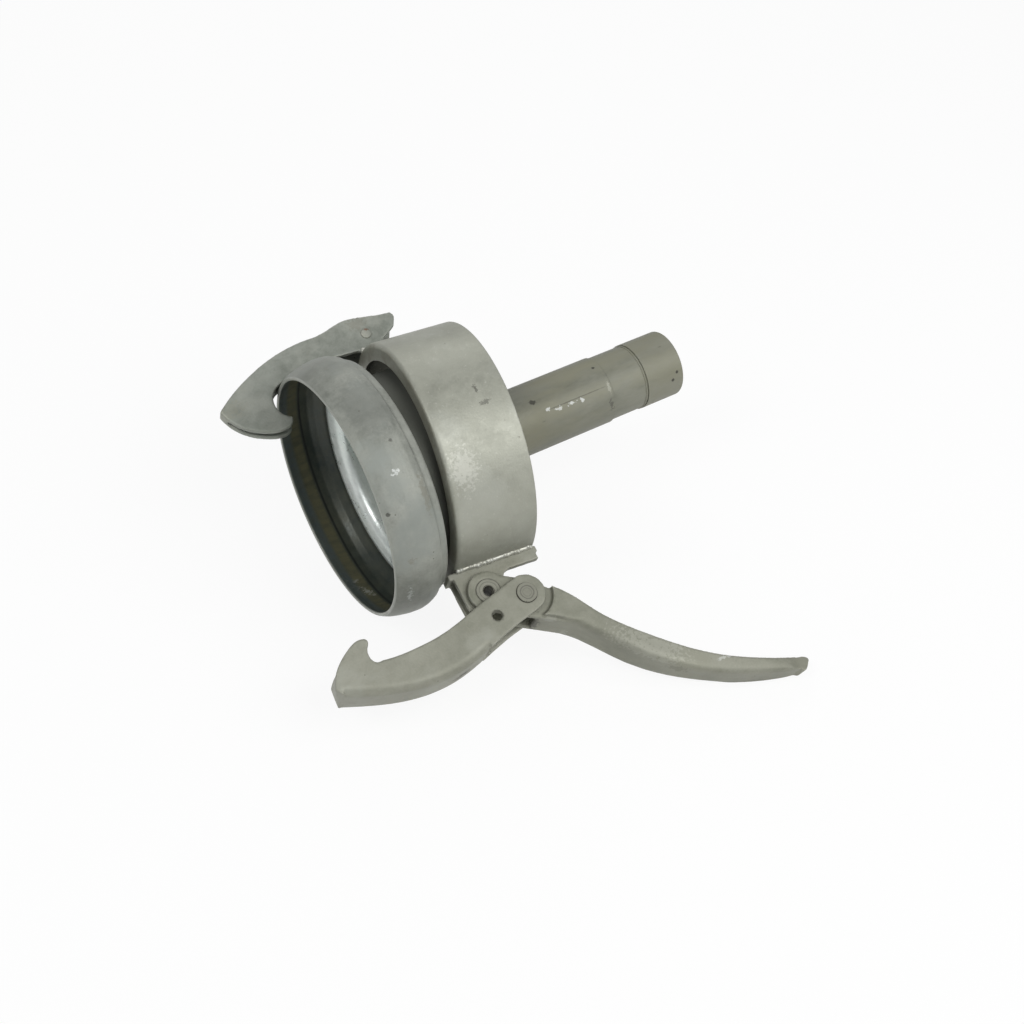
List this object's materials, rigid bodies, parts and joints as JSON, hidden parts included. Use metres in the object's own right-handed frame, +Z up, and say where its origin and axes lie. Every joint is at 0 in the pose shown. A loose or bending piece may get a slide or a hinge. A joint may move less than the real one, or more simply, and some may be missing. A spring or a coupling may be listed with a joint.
{
  "type": "irrigation hose coupling",
  "caption": "Steel lever-ring quick coupling, ball half: hollow ball on a neck, loose closure ring with a fixed claw and an over-centre lever with hook, reduced to a stepped hose tail.",
  "frame": {"origin": "Centre of the ball's mouth, on the pipe's axis", "axes": "+X along the pipe towards the hose, +Z up, the lever towards -Y and a little down"},
  "size_m": [0.356, 0.3673, 0.2023],
  "materials": {
    "galvanised_steel": "matte",
    "weathered_pipe": "matte",
    "galvanised_pressing": "matte",
    "weld_zinc": "satin",
    "rivet_zinc": "satin"
  },
  "bodies": {
    "coupling_body": {"ball_cup": "galvanised_steel", "cup_weld": "weld_zinc", "neck_sleeve": "galvanised_steel", "neck_weld": "weld_zinc", "reducer_cone": "galvanised_steel", "cone_weld": "weld_zinc", "tail_pipe": "weathered_pipe", "joint_weld": "weld_zinc", "stub_pipe": "weathered_pipe", "sleeve_weld": "weld_zinc", "end_sleeve": "weathered_pipe"},
    "ring_body": {"closure_ring": "galvanised_steel", "fixed_claw": "galvanised_pressing", "claw_weld_left": "weld_zinc", "claw_weld_right": "weld_zinc", "claw_plug_weld": "weld_zinc", "lever_bracket": "galvanised_steel", "bracket_weld_left": "weld_zinc", "bracket_weld_right": "weld_zinc", "pivot_bush": "rivet_zinc"},
    "handle_body": {"lever_handle": "galvanised_pressing"},
    "hook_body": {"claw_hook": "galvanised_pressing", "hook_rivet": "rivet_zinc"}
  },
  "joints": [
    {"name": "ring_swivel", "type": "hinge", "parent": "coupling_body", "child": "ring_body", "pos_m": [0.0586, 0, 0], "axis": [1, 0, 0], "continuous": true},
    {"name": "handle_hinge", "type": "hinge", "parent": "ring_body", "child": "handle_body", "pos_m": [0.06408, -0.10381, -0.04086], "axis": [0.0198, 0.3689, -0.9293], "range_deg": [-36, 40]},
    {"name": "hook_hinge", "type": "hinge", "parent": "handle_body", "child": "hook_body", "pos_m": [0.08659, -0.11677, -0.04553], "axis": [0.0198, 0.3689, -0.9293], "range_deg": [-40, 36]}
  ],
  "couplings": [
    {"joint": "hook_hinge", "follows": "handle_hinge", "ratio": -1}
  ]
}
